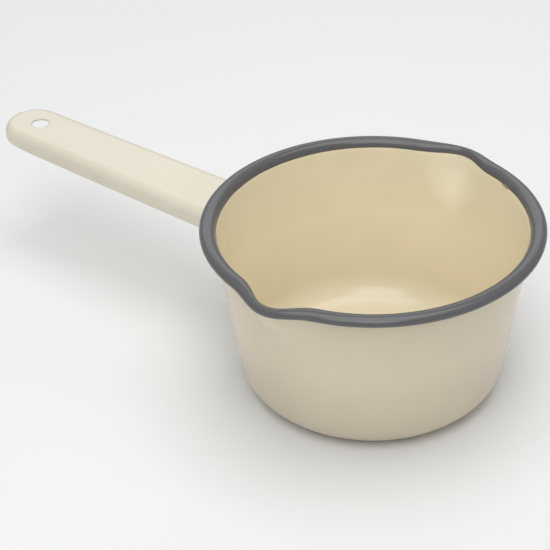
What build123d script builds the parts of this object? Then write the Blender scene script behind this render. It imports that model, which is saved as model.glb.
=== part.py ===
from build123d import *
import os
from math import acos, asin, atan, atan2, cos, degrees, hypot, pi, radians, sin

# Enamelled steel milk pan: a drawn bowl with two pouring lips, a rolled rim and a long channel handle.
#
# Millimetres, +Z up. The origin is the centre of the base, on the face that the pan stands on.
# The handle runs along -X, and the pouring lips are at +Y and -Y.

os.makedirs("parts", exist_ok=True)

# Bowl: a cone with a rounded foot, drawn from one sheet.
sheet = 1.2
foot_radius = 59.85
wall_slope = 0.1306
corner_radius = 15.5
wall_top = 80.0

# Rolled rim: an oval roll that grows out of the top edge of the wall.
rim_radius = 73.1
rim_height = 81.2
rim_half_width = 3.3
rim_half_height = 2.25

# Pouring lips: the wall and its rim are pressed outwards on both sides.
lip_angles = (90, -90)
lip_half_angle = 18
lip_depth = 30.0
lip_root_width = 0.45
lip_wall_reach = 5.85
lip_wall_sharpness = 3.1
lip_rim_reach = 5.4
lip_rim_sharpness = 2.7
lip_rim_dip = 1.2
lip_rim_narrowing = 1.15
lip_rim_flattening = 0.3
outline_steps = 12
outline_levels = 6
rim_sections = 8

# Handle: a channel pressed from sheet, open below, with a round end.
handle_height = 64.2
handle_slope = 0.0232
handle_length = 153.3
handle_inset = 12.0
root_half_width = 16.9
end_radius = 15.2
handle_depth = 9.0
end_depth = 6.4
end_rise = 30.0
handle_edge_radius = 4.5
hole_radius = 4.5
hole_distance = 133.9

# Weld: a rounded bead round the root of the handle.
weld_leg = 1.8
weld_rounding = 1.5

sheet_across = sheet / cos(atan(wall_slope))
lip_root = wall_top - lip_depth
lip_heights = [lip_root + lip_depth * level / outline_levels for level in range(outline_levels + 1)]
lip_turns = [lip_half_angle * (2 * step / outline_steps - 1) for step in range(outline_steps + 1)]
handle_plane = Plane(
    origin=(-rim_radius, 0, handle_height), x_dir=(-1, 0, handle_slope), z_dir=(handle_slope, 0, 1)
)
handle_side = Plane(handle_plane.origin, x_dir=handle_plane.x_dir, z_dir=-handle_plane.y_dir)


def wall_radius(height):
    """Outer radius of the plain wall at a height."""
    return foot_radius + wall_slope * height


def around(radius, angle, height=0.0):
    """A point at a radius and an angle about the pan's axis."""
    return Vector(radius * cos(radians(angle)), radius * sin(radians(angle)), height)


def lip_shape(turn, sharpness=lip_rim_sharpness, width=1.0):
    """Rise of a lip, from 1 at its middle to 0 at its sides, for a turn in degrees from its middle."""
    share = abs(turn) / (lip_half_angle * width)
    return cos(share * pi / 2) ** sharpness if share < 1 else 0.0


def bowl_profile(inset):
    """Half section of the bowl up to the root of the lips, moved inwards by inset sheets."""
    floor = inset * sheet
    across = inset * sheet_across
    foot = (wall_radius(floor) - across, floor)
    with BuildSketch(Plane.XZ) as profile:
        with BuildLine():
            top = (wall_radius(lip_root) - across, lip_root)
            Polyline((0, floor), foot, top, (0, lip_root), close=True)
        make_face()
        fillet(vertices().sort_by_distance(foot)[0], radius=corner_radius - floor)
    return profile.sketch


def bowl_outline(height, inset):
    """Outline of the bowl at a height: two lips joined by two round stretches."""
    plain = wall_radius(height) - inset * sheet_across
    share = (height - lip_root) / lip_depth
    growth = share * share * (3 - 2 * share)
    width = lip_root_width + (1 - lip_root_width) * growth
    reach = lip_wall_reach * growth
    radii = [plain + reach * lip_shape(turn, lip_wall_sharpness, width) for turn in lip_turns]
    with BuildSketch(Plane.XY.offset(height)) as outline:
        with BuildLine():
            for middle in lip_angles:
                points = [around(radius, middle + turn) for radius, turn in zip(radii, lip_turns)]
                along = [around(1, middle + turn + 90) for turn in (-lip_half_angle, lip_half_angle)]
                if growth > 0:
                    Spline(*points, tangents=along)
                else:
                    CenterArc((0, 0), plain, middle - lip_half_angle, 2 * lip_half_angle)
                CenterArc((0, 0), plain, middle + lip_half_angle, 180 - 2 * lip_half_angle)
        make_face()
    return outline.sketch


def rim_point(turn):
    """Centre of the rolled rim at a turn in degrees from the first lip's middle."""
    shape = lip_shape(turn)
    angle = lip_angles[0] + turn
    return around(rim_radius + lip_rim_reach * shape, angle, rim_height - lip_rim_dip * shape)


def rim_section(turn):
    """Section of the rolled rim: an oval, thinner over a lip, on a neck that stands on the wall."""
    small = 0.01
    centre = rim_point(turn)
    step = rim_point(turn + small) - rim_point(turn - small)
    run = Vector(step.X, step.Y, 0)
    shape = lip_shape(turn)
    half_width = rim_half_width - lip_rim_narrowing * shape
    half_height = rim_half_height - lip_rim_flattening * shape
    seat = wall_top - centre.Z
    seat_angle = degrees(asin(seat / half_height))
    neck = half_width * cos(radians(seat_angle)) + sheet_across
    neck_across, neck_up = neck / half_width, seat / half_height
    roll_angle = degrees(atan2(neck_up, neck_across) + acos(1 / hypot(neck_up, neck_across)))
    full = 360 + seat_angle - roll_angle
    with BuildSketch(Plane(centre, x_dir=Vector(0, 0, 1).cross(run), z_dir=run)) as section:
        with BuildLine():
            roll = EllipticalCenterArc((0, 0), half_width, half_height, roll_angle, arc_size=full)
            Polyline(roll @ 1, (neck, seat), roll @ 0)
        make_face()
    return section.sketch


def wall_block(grow):
    """Solid cone of the wall at the handle's root, grown outwards by a distance."""
    low = handle_height - 3 * handle_depth
    high = handle_height + handle_depth
    low_edge, high_edge = (wall_radius(low) + grow, low), (wall_radius(high) + grow, high)
    with BuildPart() as block:
        with BuildSketch(Plane.XZ):
            with BuildLine():
                Polyline((0, low), low_edge, high_edge, (0, high), close=True)
            make_face()
        revolve(axis=Axis.Z)
    return block.part


def handle_block(grow, below=0.0):
    """Solid of the handle's outer form, grown by a distance, with its upper edges rounded."""
    centre = handle_length - end_radius
    taper = (root_half_width - end_radius) / centre
    radius = end_radius + grow
    end = (centre + radius * sin(taper), radius * cos(taper))
    root = (-handle_inset, end[1] + taper * (end[0] + handle_inset))
    with BuildPart() as block:
        with BuildSketch(handle_plane.offset(-handle_depth - below)):
            with BuildLine():
                Polyline((end[0], -end[1]), (root[0], -root[1]), root, end)
                ThreePointArc(end, (centre + radius, 0), (end[0], -end[1]))
            make_face()
        extrude(amount=handle_depth + below + grow)
        top_edges = faces().sort_by(Axis.Z)[-1].edges()
        fillet(top_edges.sort_by(Axis.X)[:-1], radius=handle_edge_radius + grow)
    return block.part


# Rolled rim: a round stretch and the thinner stretch over a lip, both repeated half a turn on.
with BuildPart() as round_rim:
    revolve(rim_section(lip_half_angle), axis=Axis.Z, revolution_arc=180 - 2 * lip_half_angle)

with BuildPart() as lip_rim:
    turns = [lip_half_angle * (2 * step / rim_sections - 1) for step in range(rim_sections + 1)]
    loft([rim_section(turn) for turn in turns])

with BuildPart() as rim_bead:
    with PolarLocations(0, len(lip_angles)):
        add([round_rim.part, lip_rim.part])
rim_bead.part.label = "rim_bead"
export_step(rim_bead.part, "parts/rim_bead.step")

# Bowl: the outer form less the inner form.
with BuildPart() as pan_body:
    for inset, mode in ((0, Mode.ADD), (1, Mode.SUBTRACT)):
        revolve(bowl_profile(inset), axis=Axis.Z, mode=mode)
        loft([bowl_outline(height, inset) for height in lip_heights], mode=mode)
pan_body.part.label = "pan_body"
export_step(pan_body.part, "parts/pan_body.step")

# Handle: hollow below, its skirt rising under the round end, with a hanging hole.
with BuildPart() as handle_channel:
    add(handle_block(0))
    add(handle_block(-sheet, below=1.0), mode=Mode.SUBTRACT)
    with BuildSketch(handle_side):
        with BuildLine():
            rise_start = (handle_length - end_rise, -handle_depth)
            rise = TangentArc(rise_start, (handle_length, -end_depth), tangent=(1, 0))
            past_end = handle_length + sheet
            well_below = -2 * handle_depth
            low_corners = [(past_end, well_below), (rise_start[0], well_below)]
            Polyline(rise @ 1, (past_end, -end_depth), *low_corners, rise @ 0)
        make_face()
    extrude(amount=root_half_width, both=True, mode=Mode.SUBTRACT)
    with BuildSketch(handle_plane):
        with Locations((hole_distance, 0)):
            Circle(hole_radius)
    extrude(amount=2 * sheet, both=True, mode=Mode.SUBTRACT)
    add(wall_block(0), mode=Mode.SUBTRACT)
handle_channel.part.label = "handle_channel"
export_step(handle_channel.part, "parts/handle_channel.step")

# Weld: the rounded bead that fills the corner between the handle and the wall.
with BuildPart() as handle_weld:
    add(handle_block(weld_leg))
    add(wall_block(weld_leg), mode=Mode.INTERSECT)
    outer_edges = faces().filter_by(GeomType.CONE).sort_by(Axis.X)[0].edges()
    fillet(outer_edges.sort_by(Axis.Z)[1:], radius=weld_rounding)
    add(wall_block(0), mode=Mode.SUBTRACT)
    add(handle_block(0), mode=Mode.SUBTRACT)
handle_weld.part.label = "handle_weld"
export_step(handle_weld.part, "parts/handle_weld.step")
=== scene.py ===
# %% [markdown]
# # An enamelled milk pan
# A small pan pressed from sheet steel and dipped in glass enamel: cream all over, with a second,
# grey coat on the rolled rim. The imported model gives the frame, and everything here is drawn in
# metres in that same frame: the pan stands on z = 0, its axis is the Z axis, and the handle runs
# along -X. The four steel pieces are made again as finer meshes, because enamel is judged by its
# soft edges and its reflections.

# %% Load the frame
import bmesh
import bpy
from math import atan, cos, pi, radians, sin, sqrt, tan
from mathutils import Matrix, Vector


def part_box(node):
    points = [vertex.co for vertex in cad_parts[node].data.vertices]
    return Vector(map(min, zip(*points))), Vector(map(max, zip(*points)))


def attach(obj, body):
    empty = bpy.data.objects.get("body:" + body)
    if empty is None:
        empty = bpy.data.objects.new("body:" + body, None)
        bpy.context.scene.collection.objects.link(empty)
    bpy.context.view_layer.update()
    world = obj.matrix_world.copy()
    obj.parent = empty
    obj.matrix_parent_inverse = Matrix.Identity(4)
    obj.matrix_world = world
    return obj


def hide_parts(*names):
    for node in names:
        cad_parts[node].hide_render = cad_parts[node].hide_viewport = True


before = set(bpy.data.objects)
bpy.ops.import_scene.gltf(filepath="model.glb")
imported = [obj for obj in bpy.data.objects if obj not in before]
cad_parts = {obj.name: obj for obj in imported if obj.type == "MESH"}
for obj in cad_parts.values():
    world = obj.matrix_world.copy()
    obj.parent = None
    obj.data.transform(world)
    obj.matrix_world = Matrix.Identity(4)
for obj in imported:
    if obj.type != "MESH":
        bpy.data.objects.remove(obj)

scene = bpy.context.scene
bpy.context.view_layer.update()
MM = 0.001
print("nodes:", sorted(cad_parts))

# %% [markdown]
# ## The camera
# It looks down at the pan from the front right, from a little over half a metre, so the two lips
# are seen from above and the handle points away to the left. The camera is set before anything is
# made. Its place is worked out from a turn about the pan, a height angle and a distance, and it
# aims at a point on the pan's axis.

# %% Place the camera
VIEW_TURN = radians(38.65)
VIEW_RISE = radians(34.40)
VIEW_ROLL = radians(-2.12)
VIEW_DISTANCE = 0.7045
VIEW_ACROSS = -0.04368
VIEW_UP = -0.00111
VIEW_LENS = 102.2
AIM = Vector((0, 0, 0.0549))

back = Vector((sin(VIEW_TURN) * cos(VIEW_RISE), -cos(VIEW_TURN) * cos(VIEW_RISE), sin(VIEW_RISE)))
level = Vector((cos(VIEW_TURN), sin(VIEW_TURN), 0))
rising = back.cross(level)
right = level * cos(VIEW_ROLL) + rising * sin(VIEW_ROLL)
up = rising * cos(VIEW_ROLL) - level * sin(VIEW_ROLL)
eye = AIM + back * VIEW_DISTANCE + right * VIEW_ACROSS + up * VIEW_UP

camera_data = bpy.data.cameras.new("camera")
camera_data.sensor_width = 36
camera_data.lens = VIEW_LENS
camera_data.clip_start = 0.05
camera = bpy.data.objects.new("camera", camera_data)
camera.matrix_world = Matrix.Translation(eye) @ Matrix((right, up, back)).transposed().to_4x4()
scene.collection.objects.link(camera)
scene.camera = camera
print("camera at", [round(value, 4) for value in eye])

# %% [markdown]
# ## Sizes
# The sheet, the wall's cone, the roll and the lips follow the sizes that the pan was drawn to. The
# bowl's height and the rim's height come from the frame, so the finer meshes stand exactly where
# the plain ones do. Points nearer to each other than the merging reach are made one.

# %% Name the driving sizes
SHEET = 1.2 * MM
FOOT_RADIUS = 59.85 * MM
WALL_SLOPE = 0.1306
CORNER_RADIUS = 15.5 * MM
WALL_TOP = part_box("pan_body")[1][2]
RIM_HALF_WIDTH = 3.3 * MM
RIM_HALF_HEIGHT = 2.25 * MM
RIM_ABOVE_WALL = 1.2 * MM
RIM_HEIGHT = WALL_TOP + RIM_ABOVE_WALL
RIM_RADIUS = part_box("rim_bead")[1][0] - RIM_HALF_WIDTH
LIP_HALF_ANGLE = radians(18)
LIP_DEPTH = 30 * MM
MERGE_REACH = 0.01 * MM
print("wall top", round(WALL_TOP, 5), "rim", round(RIM_RADIUS, 5), round(RIM_HEIGHT, 5))


def wall_radius(height):
    """Outer radius of the plain wall at a height."""
    return FOOT_RADIUS + WALL_SLOPE * height


# %% [markdown]
# ## Writing sums as nodes
# Both the bowl and its rim are turned shapes that a formula then bends at the lips, so both are
# made by Geometry Nodes. A formula written straight in nodes is hard to read, so this small class
# lets Python's own signs do it: each sum adds one Math node and hands back its result.

# %% A value on its way through a node tree
class Wire:
    """A socket that can be added, multiplied and so on, by adding Math nodes to its tree."""

    def __init__(self, tree, socket):
        self.tree = tree
        self.socket = socket

    def math(self, operation, *others):
        node = self.tree.nodes.new("ShaderNodeMath")
        node.operation = operation
        for place, value in enumerate((self, *others)):
            feed(self.tree, value, node.inputs[place])
        return Wire(self.tree, node.outputs[0])

    def __add__(self, other):
        return self.math("ADD", other)

    def __sub__(self, other):
        return self.math("SUBTRACT", other)

    def __mul__(self, other):
        return self.math("MULTIPLY", other)

    def __truediv__(self, other):
        return self.math("DIVIDE", other)


def feed(tree, value, socket):
    """Give a socket a wire or a plain value."""
    if isinstance(value, Wire):
        tree.links.new(value.socket, socket)
    elif isinstance(value, bpy.types.NodeSocket):
        tree.links.new(value, socket)
    else:
        socket.default_value = value


def add_node(tree, kind, inputs=None, **settings):
    """Add a node, set what it is, and give its inputs their wires or values."""
    node = tree.nodes.new(kind)
    for name, value in settings.items():
        setattr(node, name, value)
    for name, value in (inputs or {}).items():
        feed(tree, value, node.inputs[name])
    return node


# %% [markdown]
# ## Turning a profile
# A potter or a spinner makes such a bowl from a template held against a turning blank. The tree
# does the same. Its input is a mesh of loose points, the template, in order from one end to the
# other. A flat grid gets one row for each point and one column for each step of the turn, and each
# grid corner is moved to its template point, swung round the axis. The template's points carry a
# few numbers of their own, which say how each one takes part in a lip.

# %% Start a turning tree
TURN_STEPS = 480
MARKS = ("radius", "height", "roll_share", "roll_angle", "slide_out", "slide_up")


def turning_tree(name, sizes):
    """A tree with named sizes, the grid, and a wire for the turn and for each mark of the template."""
    tree = bpy.data.node_groups.new(name, "GeometryNodeTree")
    tree.interface.new_socket("Template", in_out="INPUT", socket_type="NodeSocketGeometry")
    tree.interface.new_socket("Enamel", in_out="INPUT", socket_type="NodeSocketMaterial")
    for size in sizes:
        tree.interface.new_socket(size, in_out="INPUT", socket_type="NodeSocketFloat")
    tree.interface.new_socket("Mesh", in_out="OUTPUT", socket_type="NodeSocketGeometry")
    entry = tree.nodes.new("NodeGroupInput")
    template = entry.outputs["Template"]
    domain = add_node(tree, "GeometryNodeAttributeDomainSize", {"Geometry": template}, component="MESH")
    count = domain.outputs["Point Count"]
    grid = add_node(
        tree,
        "GeometryNodeMeshGrid",
        {"Size X": 1, "Size Y": 1, "Vertices X": TURN_STEPS + 1, "Vertices Y": count},
    )
    position = tree.nodes.new("GeometryNodeInputPosition")
    place = add_node(tree, "ShaderNodeSeparateXYZ", {0: position.outputs[0]})
    turn = Wire(tree, place.outputs["X"]) * (2 * pi)
    last = Wire(tree, count) - 1
    row = ((Wire(tree, place.outputs["Y"]) + 0.5) * last).math("ROUND")
    wires = {"turn": turn}
    for mark in (*MARKS, "inside"):
        named = add_node(tree, "GeometryNodeInputNamedAttribute", {"Name": mark}, data_type="FLOAT")
        sample = add_node(
            tree,
            "GeometryNodeSampleIndex",
            {"Geometry": template, "Value": named.outputs["Attribute"], "Index": row},
            data_type="FLOAT",
            domain="POINT",
        )
        wires[mark] = Wire(tree, sample.outputs["Value"])
    for size in sizes:
        wires[size] = Wire(tree, entry.outputs[size])
    return tree, entry, grid, wires


def finish_turning(tree, entry, grid, wires, radius, height):
    """Swing the grid into place, close its seam and poles, and give it its enamel."""
    turn = wires["turn"]
    marked = add_node(
        tree,
        "GeometryNodeStoreNamedAttribute",
        {"Geometry": grid.outputs["Mesh"], "Name": "inside", "Value": wires["inside"]},
        data_type="FLOAT",
        domain="POINT",
    )
    spot = add_node(
        tree,
        "ShaderNodeCombineXYZ",
        {"X": radius * turn.math("COSINE"), "Y": radius * turn.math("SINE"), "Z": height},
    )
    turned = add_node(
        tree, "GeometryNodeSetPosition", {"Geometry": marked.outputs[0], "Position": spot.outputs[0]}
    )
    closed = add_node(
        tree, "GeometryNodeMergeByDistance", {"Geometry": turned.outputs[0], "Distance": MERGE_REACH}
    )
    smooth = add_node(tree, "GeometryNodeSetShadeSmooth", {"Geometry": closed.outputs[0]})
    real = add_node(tree, "GeometryNodeRealizeInstances", {"Geometry": smooth.outputs[0]})
    enamel = entry.outputs["Enamel"]
    dipped = add_node(tree, "GeometryNodeSetMaterial", {"Geometry": real.outputs[0], "Material": enamel})
    leave = tree.nodes.new("NodeGroupOutput")
    tree.links.new(dipped.outputs[0], leave.inputs[0])


def lip_wave(turn, half_angle, sharpness):
    """How much of a lip is felt at a turn: 1 at the middle of either lip, and 0 past its ends."""
    away = (turn.math("ABSOLUTE") - pi / 2).math("ABSOLUTE")
    quarter = (away / half_angle * (pi / 2)).math("MINIMUM", pi / 2)
    return quarter.math("COSINE").math("MAXIMUM", 0.0).math("POWER", sharpness)


def template_mesh(name, rows, inside_from):
    """Loose points that carry their marks: a row gives them in order, and those it leaves out are 0."""
    mesh = bpy.data.meshes.new(name)
    mesh.from_pydata([(0, 0, 0)] * len(rows), [], [])
    for place, mark in enumerate(MARKS):
        layer = mesh.attributes.new(mark, "FLOAT", "POINT")
        layer.data.foreach_set("value", [row[place] if place < len(row) else 0.0 for row in rows])
    layer = mesh.attributes.new("inside", "FLOAT", "POINT")
    layer.data.foreach_set("value", [float(place >= inside_from) for place in range(len(rows))])
    return mesh


def run_tree(name, template, tree, enamel, sizes):
    """Run a tree on a template, and keep the result as a plain mesh object."""
    carrier = bpy.data.objects.new(name + "_template", template)
    scene.collection.objects.link(carrier)
    modifier = carrier.modifiers.new("turning", "NODES")
    modifier.node_group = tree
    for socket in tree.interface.items_tree:
        if socket.in_out == "INPUT" and socket.name in sizes:
            modifier[socket.identifier] = sizes[socket.name]
        elif socket.name == "Enamel":
            modifier[socket.identifier] = enamel
    bpy.context.view_layer.update()
    depsgraph = bpy.context.evaluated_depsgraph_get()
    mesh = bpy.data.meshes.new_from_object(carrier.evaluated_get(depsgraph))
    carrier.modifiers.remove(modifier)
    bpy.data.objects.remove(carrier)
    mesh.name = name
    piece = bpy.data.objects.new(name, mesh)
    scene.collection.objects.link(piece)
    print(name, len(mesh.vertices), "points", len(mesh.polygons), "faces")
    return piece


# %% [markdown]
# ## Enamel
# Enamel is glass fused onto steel, so it is glossy, and its colour lies under a clear, slightly
# uneven skin. Small marks keep it from looking like plastic. The skin ripples gently over
# centimetres and has a faint orange peel over a millimetre or two. Its colour drifts a little with
# its thickness, and it is painted darker low down, a painted shade towards the foot. The inside of
# the bowl is painted a lighter cream than the outside, painted light for the light that bounces
# round the bowl, and the handle a paler, less yellow cream, painted light for the whiter light on
# its top. The kiln leaves a few tiny specks, and one brown smudge is beside the far lip, where the
# grey coat was wiped. All of it is drawn on Object coordinates, so it stays put.

# %% Name the enamel's marks
DRIFT_SCALE = 22
DRIFT_TONES = (0.955, 1.02)
CLOUD_SCALE = 60
CLOUD_SPREAD = (0.8, 1.35)
SWELL_SCALE = 38
PEEL_SCALE = 420
PEEL_SHARE = 0.05
# Painted shade: how high the darkening towards the foot reaches, and how dark it is at the floor.
FOOT_SHADE_HEIGHT = 45 * MM
FOOT_SHADE_TONE = 0.80
SPECK_SCALE = 210
SPECK_RARITY = 0.975
SPECK_RADIUS = 0.045
SPECK_STRENGTH = 0.7
SMUDGE_TURN = radians(63)
SMUDGE_PLACE = (69.3 * MM * cos(SMUDGE_TURN), 69.3 * MM * sin(SMUDGE_TURN), 80.3 * MM)
SMUDGE_SIZE = (2.6 * MM, 2.6 * MM, 0.9 * MM)
SMUDGE_FADE = (1.25, 1.65)
SMUDGE_STRENGTH = 0.75
SMUDGE_RAGGEDNESS = 700
KILN_BROWN = (0.30, 0.22, 0.14)
KILN_GREY = (0.30, 0.29, 0.27)
GLASS_IOR = 1.5
GLASS_SHINE = 0.42
print("smudge at", [round(value, 4) for value in SMUDGE_PLACE])


# %% Small helpers for materials
def noise(tree, place, scale, detail):
    """A cloud of values between 0 and 1."""
    node = add_node(
        tree, "ShaderNodeTexNoise", {"Vector": place, "Scale": float(scale), "Detail": float(detail)}
    )
    return Wire(tree, node.outputs[0])


def stretch(tree, value, low, high, to_low, to_high):
    """A value moved from one range to another, and held at its ends."""
    ends = {"From Min": low, "From Max": high, "To Min": to_low, "To Max": to_high}
    return Wire(tree, add_node(tree, "ShaderNodeMapRange", {"Value": value, **ends}).outputs[0])


def tint(tree, share, under, over):
    """One colour over another, as strongly as the share says."""
    return add_node(tree, "ShaderNodeMix", {0: share, 6: under, 7: over}, data_type="RGBA").outputs[2]


# %% Mix an enamel
def speck_share(tree, place):
    """Where the few specks from the kiln are: in rare cells, near the middle of the cell."""
    cells = add_node(tree, "ShaderNodeTexVoronoi", {"Vector": place, "Scale": float(SPECK_SCALE)})
    luck = add_node(tree, "ShaderNodeSeparateColor", {0: cells.outputs["Color"]})
    chosen = Wire(tree, luck.outputs[0]).math("GREATER_THAN", SPECK_RARITY)
    dot = Wire(tree, cells.outputs["Distance"]).math("LESS_THAN", SPECK_RADIUS)
    return chosen * dot * SPECK_STRENGTH


def smudge_share(tree, place):
    """Where the one smudge is: a small flat patch with a ragged edge."""
    centred = add_node(
        tree,
        "ShaderNodeMapping",
        {"Vector": place, "Location": SMUDGE_PLACE, "Scale": SMUDGE_SIZE},
        vector_type="TEXTURE",
    )
    ragged = noise(tree, place, SMUDGE_RAGGEDNESS, 2)
    length = add_node(tree, "ShaderNodeVectorMath", {0: centred.outputs[0]}, operation="LENGTH")
    reach = Wire(tree, length.outputs["Value"]) + ragged
    return stretch(tree, reach, *SMUDGE_FADE, SMUDGE_STRENGTH, 0.0)


def enamel_material(name, colour, inside_colour, mark_colour, roughness, ripple):
    """Glossy enamel: a colour that drifts with its thickness and is painted darker towards the foot as
    painted shade, kiln specks, ripples and fine peel.
    """
    material = bpy.data.materials.new(name)
    material.use_nodes = True
    tree = material.node_tree
    shader = tree.nodes["Principled BSDF"]
    place = tree.nodes.new("ShaderNodeTexCoord").outputs["Object"]

    # Painted light: on the bowl the inside takes a lighter cream, standing in for light bouncing round
    # the bowl.
    inside = add_node(tree, "ShaderNodeAttribute", attribute_name="inside")
    coat = tint(tree, inside.outputs["Fac"], (*colour, 1), (*inside_colour, 1))
    thickness = stretch(tree, noise(tree, place, DRIFT_SCALE, 3), 0.3, 0.7, *DRIFT_TONES)
    height = add_node(tree, "ShaderNodeSeparateXYZ", {0: place}).outputs["Z"]
    # Painted shade: the colour is darkened towards the foot, below 45 mm.
    painted_foot_shade = stretch(tree, height, 0.0, FOOT_SHADE_HEIGHT, FOOT_SHADE_TONE, 1.0)
    body = add_node(tree, "ShaderNodeHueSaturation", {"Value": thickness * painted_foot_shade, "Color": coat})
    speckled = tint(tree, speck_share(tree, place), body.outputs[0], (*mark_colour, 1))
    marked = tint(tree, smudge_share(tree, place), speckled, (*mark_colour, 1))
    tree.links.new(marked, shader.inputs["Base Color"])

    cloud = noise(tree, place, CLOUD_SCALE, 4)
    dull = stretch(tree, cloud, 0.0, 1.0, *(roughness * spread for spread in CLOUD_SPREAD))
    feed(tree, dull, shader.inputs["Roughness"])

    swell = noise(tree, place, SWELL_SCALE, 1)
    peel = noise(tree, place, PEEL_SCALE, 2)
    first = add_node(tree, "ShaderNodeBump", {"Height": swell, "Strength": 1.0, "Distance": ripple})
    second = add_node(
        tree,
        "ShaderNodeBump",
        {"Height": peel, "Strength": 1.0, "Distance": ripple * PEEL_SHARE, "Normal": first.outputs[0]},
    )
    tree.links.new(second.outputs[0], shader.inputs["Normal"])
    shader.inputs["IOR"].default_value = GLASS_IOR
    shader.inputs["Specular IOR Level"].default_value = GLASS_SHINE
    print("enamel", name)
    return material


# %% Mix the three enamels
OUTER_CREAM = (0.765, 0.673, 0.51)
# Painted light: the inside cream is lighter than the outside, for light bouncing round the bowl.
INNER_BOUNCE_LIT_CREAM = (0.91, 0.822, 0.612)
# Painted light: the handle's cream is a paler, less yellow copy, for the whiter light on its top.
HANDLE_TOP_LIT_CREAM = (0.76, 0.71, 0.575)
GREY = (0.115, 0.115, 0.118)
cream = enamel_material(
    "cream_enamel", OUTER_CREAM, INNER_BOUNCE_LIT_CREAM, KILN_BROWN, roughness=0.15, ripple=0.30 * MM
)
# Painted light: the handle gets its own paler copy of the cream, for the whiter light on its top.
handle_top_lit_cream = enamel_material(
    "handle_top_lit_cream_enamel", HANDLE_TOP_LIT_CREAM, HANDLE_TOP_LIT_CREAM, KILN_BROWN, roughness=0.15, ripple=0.20 * MM
)
grey = enamel_material("grey_enamel", GREY, GREY, KILN_GREY, roughness=0.16, ripple=0.20 * MM)

# %% [markdown]
# ## The bowl
# The bowl is one drawn sheet: a flat base, a rounded foot and a wall that opens slightly. At the
# top the sheet bends outwards over a soft shoulder and goes into the roll. The template runs from
# the middle of the base, up the outside, over the top, down the inside and back to the middle, so
# the shell is closed, and its top end is hidden inside the grey roll.

# %% Draw the shoulder and the oval of the roll
SHOULDER_START = 4.2 * MM
SHOULDER_ANGLE = radians(158)
SHOULDER_PULL = 0.36
SHEET_ACROSS = SHEET / cos(atan(WALL_SLOPE))


def roll_point(angle, depth=0.0):
    """A point of the roll's plain oval, or of a smaller one a depth inside it."""
    return (
        RIM_RADIUS + (RIM_HALF_WIDTH - depth) * cos(angle),
        RIM_HEIGHT + (RIM_HALF_HEIGHT - depth) * sin(angle),
    )


def shoulder(share):
    """Spot and upward direction on the bend from the inner wall, share 0, to the roll, share 1."""
    start = Vector((wall_radius(WALL_TOP - SHOULDER_START) - SHEET_ACROSS, WALL_TOP - SHOULDER_START))
    end = Vector(roll_point(SHOULDER_ANGLE))
    rise = Vector((WALL_SLOPE, 1)).normalized()
    bend = Vector((RIM_HALF_WIDTH * sin(SHOULDER_ANGLE), -RIM_HALF_HEIGHT * cos(SHOULDER_ANGLE)))
    bend.normalize()
    reach = SHOULDER_PULL * (end - start).length
    first, second = start + rise * reach, end - bend * reach
    rest = 1 - share
    spot = start * rest**3 + first * 3 * rest**2 * share + second * 3 * rest * share**2 + end * share**3
    way = (first - start) * rest**2 + (second - first) * 2 * rest * share + (end - second) * share**2
    return spot, way.normalized()


def part_of_roll(share):
    """How far a spot on the shoulder goes with the roll, and not with the wall, over a lip."""
    return share * share * (3 - 2 * share)


# %% Draw the bowl's template
BASE_RINGS = (0.0, 12 * MM, 30 * MM)
BEND_STEPS = 14
HIDDEN_TURNS = (200, 150, 110)
TOP_TURNS = (118, 128, 138, 148)


def foot_points(radius, floor, offset, steps=14):
    """Points of the rounded foot from the base to the wall, as (radius, height) pairs."""
    lean = atan(WALL_SLOPE)
    centre_height = floor + radius
    centre_radius = wall_radius(centre_height) - offset - radius / cos(lean)
    points = []
    for step in range(steps + 1):
        angle = -pi / 2 + (pi / 2 - lean) * step / steps
        points.append((centre_radius + radius * cos(angle), centre_height + radius * sin(angle)))
    return points


def wall_points(low, high, offset, steps=34):
    """Points up the plain wall between two heights."""
    heights = [low + (high - low) * step / steps for step in range(1, steps + 1)]
    return [(wall_radius(height) - offset, height) for height in heights]


outer_foot = foot_points(CORNER_RADIUS, 0.0, 0.0)
inner_foot = foot_points(CORNER_RADIUS - SHEET, SHEET, SHEET_ACROSS)
inner_wall = wall_points(inner_foot[-1][1], WALL_TOP - SHOULDER_START, SHEET_ACROSS)[:-1]
bowl_rows = [(radius, 0.0) for radius in BASE_RINGS]
bowl_rows += outer_foot + wall_points(outer_foot[-1][1], WALL_TOP, 0.0)
bowl_rows += [(*roll_point(radians(angle), SHEET), 1.0, radians(angle)) for angle in HIDDEN_TURNS]
bowl_rows += [(*roll_point(radians(angle)), 1.0, radians(angle)) for angle in TOP_TURNS]
first_inner = len(bowl_rows)
for step in range(BEND_STEPS, -1, -1):
    share = step / BEND_STEPS
    bowl_rows.append((*shoulder(share)[0], part_of_roll(share), SHOULDER_ANGLE))
bowl_rows += inner_wall[::-1] + inner_foot[::-1]
bowl_rows += [(radius, SHEET) for radius in BASE_RINGS[::-1]]
bowl_template = template_mesh("bowl_template", bowl_rows, first_inner)
print("bowl template", len(bowl_rows), "points")

# %% [markdown]
# A lip is pressed out of the finished bowl with a tool, so the tree does it after the turning. Low
# on the wall the press starts as a narrow crease, and it widens and deepens towards the rim. Near
# the top the sheet follows the roll instead, which goes further out and dips a little there.

# %% Turn the bowl and press its lips
LIP_SIZES = {
    "Lip Half Angle": LIP_HALF_ANGLE,
    "Lip Root Height": WALL_TOP - LIP_DEPTH,
    "Lip Depth": LIP_DEPTH,
    "Root Width": 0.45,
    "Wall Reach": 5.85 * MM,
    "Wall Sharpness": 3.1,
    "Rim Reach": 5.4 * MM,
    "Rim Sharpness": 2.7,
    "Rim Dip": 1.2 * MM,
    "Rim Narrowing": 1.15 * MM,
    "Rim Flattening": 0.3 * MM,
    "Crease Width": 0.42,
    "Crease Reach": 0.5 * MM,
}
WANDER_SIZES = {
    "Edge Wander": 0.7 * MM,
    "Edge Tilt": 0.45 * MM,
    "Tilt Turn": radians(45),
}
WANDER_SCALE = 6


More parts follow.
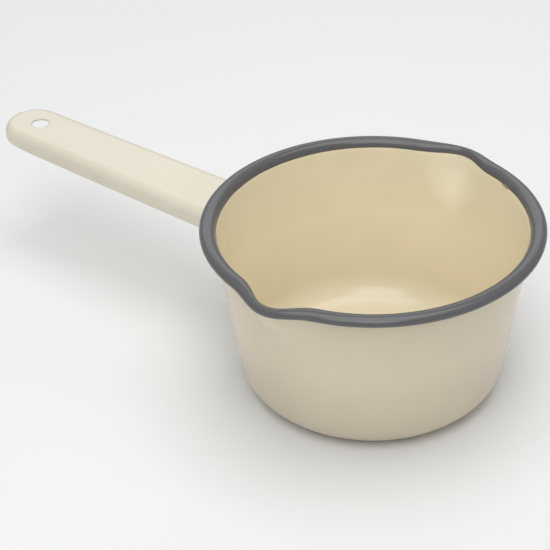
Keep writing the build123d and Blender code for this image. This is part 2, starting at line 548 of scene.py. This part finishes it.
def sheet_tree():
    """Turn a template, press both lips, and let the marked stretch of it wander."""
    tree, entry, grid, wires = turning_tree("turned_sheet", [*LIP_SIZES, *WANDER_SIZES])
    turn, share = wires["turn"], wires["roll_share"]
    climb = add_node(
        tree,
        "ShaderNodeMapRange",
        {"Value": (wires["height"] - wires["Lip Root Height"]) / wires["Lip Depth"]},
        interpolation_type="SMOOTHSTEP",
    )
    growth = Wire(tree, climb.outputs[0])
    width = growth * (wires["Root Width"] * -1 + 1) + wires["Root Width"]
    pressed = lip_wave(turn, wires["Lip Half Angle"] * width, wires["Wall Sharpness"])
    crease = lip_wave(turn, wires["Lip Half Angle"] * width * wires["Crease Width"], 1.0)
    wall_out = growth * (pressed * wires["Wall Reach"] + crease * wires["Crease Reach"])

    felt = lip_wave(turn, wires["Lip Half Angle"], wires["Rim Sharpness"])
    roll_out = felt * (wires["Rim Reach"] - wires["Rim Narrowing"] * wires["roll_angle"].math("COSINE"))
    roll_up = felt * (wires["Rim Dip"] * -1 - wires["Rim Flattening"] * wires["roll_angle"].math("SINE"))

    circle = add_node(
        tree, "ShaderNodeCombineXYZ", {"X": turn.math("COSINE"), "Y": turn.math("SINE"), "Z": 0.0}
    )
    wander = (noise(tree, circle.outputs[0], WANDER_SCALE, 4) - 0.5) * wires["Edge Wander"]
    wander = wander + (turn - wires["Tilt Turn"]).math("COSINE") * wires["Edge Tilt"]

    radius = wires["radius"] + wall_out * (share * -1 + 1) + roll_out * share
    height = wires["height"] + roll_up * share
    radius = radius + wander * wires["slide_out"]
    height = height + wander * wires["slide_up"]
    finish_turning(tree, entry, grid, wires, radius, height)
    return tree


turned_sheet = sheet_tree()
bowl = run_tree("bowl", bowl_template, turned_sheet, cream, LIP_SIZES)

# %% [markdown]
# ## The grey roll
# The roll is the sheet's own edge, curled over and then dipped in grey enamel. The grey coat lies
# on the cream one and comes a little way down the shoulder on the inside, where it ends in a soft
# step that wanders, as a dipped edge does, because no hand holds a pan quite level. Its template
# is the oval, the top of the shoulder and that step, and it goes through the same tree.

# %% Turn the roll
COAT = 0.14 * MM
EDGE_SHARE = 0.70
STEP_WIDTH = 0.05
EDGE_STEPS = 8
STEP_FORM = ((0.4, 0.8 * COAT), (0.7, 0.4 * COAT), (1.0, -0.5 * COAT), (0.5, -0.5 * SHEET))


def coat_row(share, proud, follow):
    """A point on the shoulder, a little proud of the cream, that follows the wandering edge."""
    spot, way = shoulder(share)
    spot += Vector((-way.y, way.x)) * proud
    return (*spot, part_of_roll(share), SHOULDER_ANGLE, *(way * follow))


def roll_rows():
    """The oval from under the roll, over its top, down the shoulder to the step, and back inside."""
    rows = [(*roll_point(radians(angle), -COAT), 1.0, radians(angle)) for angle in range(-152, 153, 8)]
    for step in range(EDGE_STEPS + 1):
        share = 1 - (1 - EDGE_SHARE) * step / EDGE_STEPS
        rows.append(coat_row(share, COAT, step / EDGE_STEPS))
    rows += [coat_row(EDGE_SHARE - part * STEP_WIDTH, proud, 1.0) for part, proud in STEP_FORM]
    rows += [(*roll_point(radians(angle), SHEET), 1.0, radians(angle)) for angle in (120, -150)]
    return rows + rows[:1]


oval_rows = roll_rows()
roll_template = template_mesh("roll_template", oval_rows, len(oval_rows))
roll = run_tree("rim_roll", roll_template, turned_sheet, grey, {**LIP_SIZES, **WANDER_SIZES})

# %% [markdown]
# ## The handle
# The handle is a channel pressed from the same sheet: a flat top with rounded shoulders, a skirt
# down both sides, a round end that carries a hanging hole, and nothing underneath. Its form comes
# from rays. Each ray starts on the middle line, or at the hole's edge, and runs out to the outline,
# and the rays that start at the hole fan out over the whole round end. The section along a ray is
# always the same: flat, shoulder, skirt, and back up inside.

# %% Name the handle's sizes
HANDLE_START = Vector((-RIM_RADIUS, 0, 64.2 * MM))
HANDLE_SLOPE = 0.0232
HANDLE_LENGTH = 153.3 * MM
ROOT_HALF_WIDTH = 16.9 * MM
END_RADIUS = 15.2 * MM
SKIRT_DEPTH = 9.0 * MM
END_DEPTH = 6.4 * MM
END_RISE = 30 * MM
SHOULDER_RADIUS = 4.5 * MM
HOLE_RADIUS = 4.5 * MM
HOLE_DISTANCE = 133.9 * MM
END_CENTRE = HANDLE_LENGTH - END_RADIUS
TAPER = (ROOT_HALF_WIDTH - END_RADIUS) / END_CENTRE


def to_frame(along, across, over):
    """A point of the handle, measured along it, across it and over its top, in the pan's frame."""
    tilt = sqrt(1 + HANDLE_SLOPE**2)
    return Vector(
        (
            HANDLE_START.x + (-along + HANDLE_SLOPE * over) / tilt,
            -across,
            HANDLE_START.z + (HANDLE_SLOPE * along + over) / tilt,
        )
    )


def skirt_depth(along):
    """How deep the skirt hangs: an arc lifts its edge towards the round end."""
    past = max(0.0, along - (HANDLE_LENGTH - END_RISE))
    rise = SKIRT_DEPTH - END_DEPTH
    radius = (END_RISE**2 + rise**2) / (2 * rise)
    return SKIRT_DEPTH - (radius - sqrt(radius**2 - past**2))


print("handle", round(HANDLE_LENGTH, 4), "skirt at its end", round(skirt_depth(HANDLE_LENGTH), 5))


# %% The rays of one half, from the root to the tip
HOLE_ROUNDING = 0.45 * MM
HOLE_CENTRE = Vector((HOLE_DISTANCE, 0))
HOLE_RAYS = 48
MIDDLE_RAYS = 40


def handle_rays():
    """Start, outline point, direction, and whether it starts at the hole, of each ray of one half."""
    hole_reach = HOLE_RADIUS + HOLE_ROUNDING
    side = Vector((sin(TAPER), cos(TAPER)))
    rays = []
    for step in range(MIDDLE_RAYS):
        start = Vector(((HOLE_DISTANCE - hole_reach) * step / MIDDLE_RAYS, 0))
        half_width = END_RADIUS / cos(TAPER) + (END_CENTRE - start.x) * tan(TAPER)
        rays.append((start, Vector((start.x, half_width)), side, False))
    centre = Vector((END_CENTRE, 0))
    straight = END_CENTRE - (HOLE_DISTANCE - hole_reach)
    round_end = END_RADIUS * (pi / 2 - TAPER)
    for step in range(HOLE_RAYS + 1):
        turn = pi * (1 - step / HOLE_RAYS)
        start = HOLE_CENTRE + Vector((cos(turn), sin(turn))) * hole_reach
        run = (straight + round_end) * step / HOLE_RAYS - straight
        if run < 0:
            edge = centre + side * END_RADIUS + Vector((cos(TAPER), -sin(TAPER))) * run
            rays.append((start, edge, side, True))
        else:
            angle = (pi / 2 - TAPER) * (1 - run / round_end)
            outwards = Vector((cos(angle), sin(angle)))
            rays.append((start, centre + outwards * END_RADIUS, outwards, True))
    return rays


# %% The section along a ray
SKIRT_ROUNDING = 0.5 * MM
TOP_SHARES = (0.12, 0.3, 0.5, 0.7, 0.88, 1.0)
SHOULDER_STEPS = 8
INNER_STEPS = 6
SKIRT_SHARES = (0.34, 0.67, 1.0)
CEILING_SHARES = (0.7, 0.4, 0.12)
OUTER_POINTS = len(TOP_SHARES) + SHOULDER_STEPS + len(SKIRT_SHARES)


def ray_section(start, edge, side):
    """Points (along, across, over) from the start over the top, down the skirt and up inside."""
    depth = skirt_depth(edge.x)
    points = []
    in_top = edge - side * SHOULDER_RADIUS
    for share in TOP_SHARES:
        spot = start.lerp(in_top, share)
        points.append((spot.x, spot.y, 0.0))
    for step in range(1, SHOULDER_STEPS + 1):
        angle = pi / 2 * step / SHOULDER_STEPS
        spot = in_top + side * SHOULDER_RADIUS * sin(angle)
        points.append((spot.x, spot.y, SHOULDER_RADIUS * (cos(angle) - 1)))
    for share in SKIRT_SHARES:
        over = -SHOULDER_RADIUS - (depth - SKIRT_ROUNDING - SHOULDER_RADIUS) * share
        points.append((edge.x, edge.y, over))
    low = -depth + SKIRT_ROUNDING
    for angle in (45, 90):
        spot = edge - side * SKIRT_ROUNDING * (1 - cos(radians(angle)))
        points.append((spot.x, spot.y, low - SKIRT_ROUNDING * sin(radians(angle))))
    inner = edge - side * SHEET
    for angle in (90, 45, 0):
        spot = inner + side * SKIRT_ROUNDING * (1 - cos(radians(angle)))
        points.append((spot.x, spot.y, low - SKIRT_ROUNDING * sin(radians(angle))))
    points.append((inner.x, inner.y, -SHOULDER_RADIUS))
    for step in range(1, INNER_STEPS + 1):
        angle = pi / 2 * (1 - step / INNER_STEPS)
        spot = in_top + side * (SHOULDER_RADIUS - SHEET) * sin(angle)
        points.append((spot.x, spot.y, (SHOULDER_RADIUS - SHEET) * cos(angle) - SHOULDER_RADIUS))
    for share in CEILING_SHARES:
        spot = start.lerp(in_top, share)
        points.append((spot.x, spot.y, -SHEET))
    return points


def start_section(start, at_hole):
    """The start of a ray, from the underside to the top: a rounded edge at the hole, else one spot."""
    if not at_hole:
        return [(start.x, start.y, over) for over in (-SHEET, -SHEET, -SHEET, 0.0, 0.0, 0.0)]
    points = []
    away = (start - HOLE_CENTRE).normalized()
    for middle, angles in ((-SHEET + HOLE_ROUNDING, (-90, -45, 0)), (-HOLE_ROUNDING, (0, 45, 90))):
        for angle in angles:
            reach = HOLE_RADIUS + HOLE_ROUNDING * (1 - cos(radians(angle)))
            spot = HOLE_CENTRE + away * reach
            points.append((spot.x, spot.y, middle + HOLE_ROUNDING * sin(radians(angle))))
    return points


# %% Build the shell of the handle
ROOT_COLUMNS = 12
ROOT_SINK = 0.6 * MM
START_ROWS = 6


def place_column(ray, mirror, root_share):
    """A ray's section in the pan's frame. Near the root it is drawn on, to end inside the wall."""
    start, edge, side, at_hole = ray
    column = []
    for along, across, over in (*start_section(start, at_hole), *ray_section(start, edge, side)):
        spot = to_frame(along, mirror * across, over)
        wall = -sqrt((wall_radius(spot.z) - ROOT_SINK) ** 2 - spot.y**2)
        spot.x += (wall - HANDLE_START.x) * root_share
        column.append(spot)
    return column


def handle_mesh():
    """Join the rays' sections into a closed shell, half by half, with the hole left open."""
    rays = handle_rays()
    vertices = []
    faces = []
    for mirror in (1, -1):
        base = len(vertices)
        for place, ray in enumerate(rays):
            column = place_column(ray, mirror, max(0.0, 1 - place / ROOT_COLUMNS))
            rows = len(column)
            vertices += column
        for place in range(len(rays) - 1):
            both_at_hole = rays[place][3] and rays[place + 1][3]
            for row in range(0 if both_at_hole else START_ROWS - 1, rows):
                near = base + place * rows
                far = near + rows
                after = (row + 1) % rows
                faces.append((near + row, far + row, far + after, near + after)[::mirror])
        faces.append(tuple(range(base, base + rows))[::-mirror])
    mesh = bpy.data.meshes.new("handle_shell")
    mesh.from_pydata(vertices, [], faces)
    return mesh


# %% Close a mesh
def close_and_smooth(mesh):
    """Merge the points that meet, point the faces outwards and shade them smooth."""
    work = bmesh.new()
    work.from_mesh(mesh)
    bmesh.ops.remove_doubles(work, verts=work.verts, dist=MERGE_REACH)
    bmesh.ops.dissolve_degenerate(work, edges=work.edges, dist=MERGE_REACH / 2)
    bmesh.ops.recalc_face_normals(work, faces=work.faces)
    open_edges = sum(1 for edge in work.edges if len(edge.link_faces) != 2)
    work.to_mesh(mesh)
    work.free()
    mesh.polygons.foreach_set("use_smooth", [True] * len(mesh.polygons))
    return open_edges


shell = handle_mesh()
print("handle open edges", close_and_smooth(shell))
handle = bpy.data.objects.new("handle_shell", shell)
handle.data.materials.append(handle_top_lit_cream)
scene.collection.objects.link(handle)

# %% [markdown]
# ## The weld
# The handle is welded on before the dip, and the enamel drowns the weld in a soft hollow fillet
# that runs from one skirt edge, over the top and down to the other. One leg of it lies along the
# handle and the other along the wall, and both legs shorten at the skirts' edges. Its hidden side
# is sunk a little into both pieces, so no gap shows.

# %% Sweep the weld's fillet
WELD_LEG = 2.2 * MM
WELD_STEPS = 8
END_LEG = 0.35
LEG_GROWTH = 0.25
CORNER_SINK = 0.5 * MM
HANDLE_SINK = 0.25 * MM
WALL_SINK = 0.4 * MM


def weld_spot(across, over, out_of_wall, off_handle):
    """A spot beside the handle: so far off its face along the wall, and so far out from the wall."""
    spot = to_frame(0, across, over) + off_handle
    spot.x = -sqrt(wall_radius(spot.z) ** 2 - spot.y**2) - out_of_wall
    return spot


def weld_mesh():
    """A hollow fillet along the line where the handle's outer face meets the wall."""
    section = ray_section(Vector((0, 0)), Vector((0, ROOT_HALF_WIDTH)), Vector((sin(TAPER), cos(TAPER))))
    outside = section[:OUTER_POINTS]
    path = [(across, over) for _, across, over in reversed(outside)]
    path += [(-across, over) for _, across, over in outside]
    vertices = []
    for place, (across, over) in enumerate(path):
        before = Vector(path[max(place - 1, 0)])
        after = Vector(path[min(place + 1, len(path) - 1)])
        run = (after - before).normalized()
        off_handle = Vector((0, run.y, -run.x))
        if off_handle.dot(Vector((0, -across, over + SHOULDER_RADIUS))) < 0:
            off_handle = -off_handle
        leg = WELD_LEG * min(1.0, END_LEG + LEG_GROWTH * min(place, len(path) - 1 - place))
        ring = [(-CORNER_SINK, -CORNER_SINK), (leg, -HANDLE_SINK)]
        for step in range(WELD_STEPS + 1):
            angle = pi / 2 * step / WELD_STEPS
            ring.append((leg * (1 - sin(angle)), leg * (1 - cos(angle))))
        ring.append((-WALL_SINK, leg))
        vertices += [weld_spot(across, over, out, off_handle * aside) for out, aside in ring]
    columns = len(ring)
    faces = []
    for place in range(len(path) - 1):
        for row in range(columns):
            after = (row + 1) % columns
            near = place * columns
            faces.append((near + row, near + after, near + columns + after, near + columns + row))
    faces.append(tuple(range(columns)))
    faces.append(tuple(reversed(range((len(path) - 1) * columns, len(path) * columns))))
    mesh = bpy.data.meshes.new("weld_fillet")
    mesh.from_pydata(vertices, [], faces)
    return mesh


weld_form = weld_mesh()
print("weld open edges", close_and_smooth(weld_form))
weld = bpy.data.objects.new("weld_fillet", weld_form)
weld.data.materials.append(cream)
scene.collection.objects.link(weld)

# %% [markdown]
# ## Putting the pieces in the frame
# The pan has no moving part, so every piece rides on the one body. Each fine piece stands for the
# plain node that it was made from, and that node is hidden.

# %% Ride, and hide the plain nodes
for piece, node, finish in (
    (bowl, "pan_body", "cream_enamel"),
    (roll, "rim_bead", "grey_enamel"),
    (handle, "handle_channel", "cream_enamel"),
    (weld, "handle_weld", "cream_enamel"),
):
    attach(piece, "root")
    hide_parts(node)
    print(piece.name, "stands for", node)

# %% [markdown]
# ## The floor and the light
# A plain pale floor and soft studio light. One wide panel overhead gives the top faces their glow
# and the roll its long highlight, a weaker one in front opens the outside of the bowl, a long low
# one behind gives the enamel its sheen, and the pale room fills the shadows.

# %% Lay the floor
FLOOR_HALF = 3.0
FLOOR_DROP = 0.1 * MM
PAPER = (0.90, 0.90, 0.895, 1)
PAPER_SHADE = (0.88, 0.88, 0.875, 1)


def floor_material():
    """Matt pale paper with a very faint mottle."""
    material = bpy.data.materials.new("pale_paper")
    material.use_nodes = True
    tree = material.node_tree
    shader = tree.nodes["Principled BSDF"]
    place = tree.nodes.new("ShaderNodeTexCoord").outputs["Object"]
    tone = tint(tree, noise(tree, place, 6, 4), PAPER, PAPER_SHADE)
    tree.links.new(tone, shader.inputs["Base Color"])
    shader.inputs["Roughness"].default_value = 0.9
    shader.inputs["Specular IOR Level"].default_value = 0.1
    return material


floor_mesh = bpy.data.meshes.new("floor")
corners = ((-1, -1), (1, -1), (1, 1), (-1, 1))
floor_spots = [(FLOOR_HALF * x, FLOOR_HALF * y, -FLOOR_DROP) for x, y in corners]
floor_mesh.from_pydata(floor_spots, [], [(0, 1, 2, 3)])
floor = bpy.data.objects.new("floor", floor_mesh)
floor.data.materials.append(floor_material())
scene.collection.objects.link(floor)


# %% Hang the lights
def softbox(name, place, aim, width, height, power):
    """A rectangular area light that faces a point."""
    data = bpy.data.lights.new(name, "AREA")
    data.shape = "RECTANGLE"
    data.size = width
    data.size_y = height
    data.energy = power
    lamp = bpy.data.objects.new(name, data)
    lamp.location = place
    lamp.rotation_euler = (Vector(aim) - Vector(place)).to_track_quat("-Z", "Y").to_euler()
    scene.collection.objects.link(lamp)


softbox("overhead", (0.05, 0.0, 1.35), (0, 0, 0.05), 1.25, 1.0, 9)
softbox("front", (0.42, -0.82, 1.25), (0, 0, 0.04), 1.0, 0.8, 6)
softbox("behind", (-0.83, 1.04, 0.95), (0, 0, 0.05), 1.6, 0.5, 2.5)

room = bpy.data.worlds.new("pale_room")
room.use_nodes = True
room.node_tree.nodes["Background"].inputs["Color"].default_value = (0.97, 0.98, 1.0, 1)
room.node_tree.nodes["Background"].inputs["Strength"].default_value = 0.40
scene.world = room
scene.view_settings.view_transform = "Standard"
print("lights and floor ready")
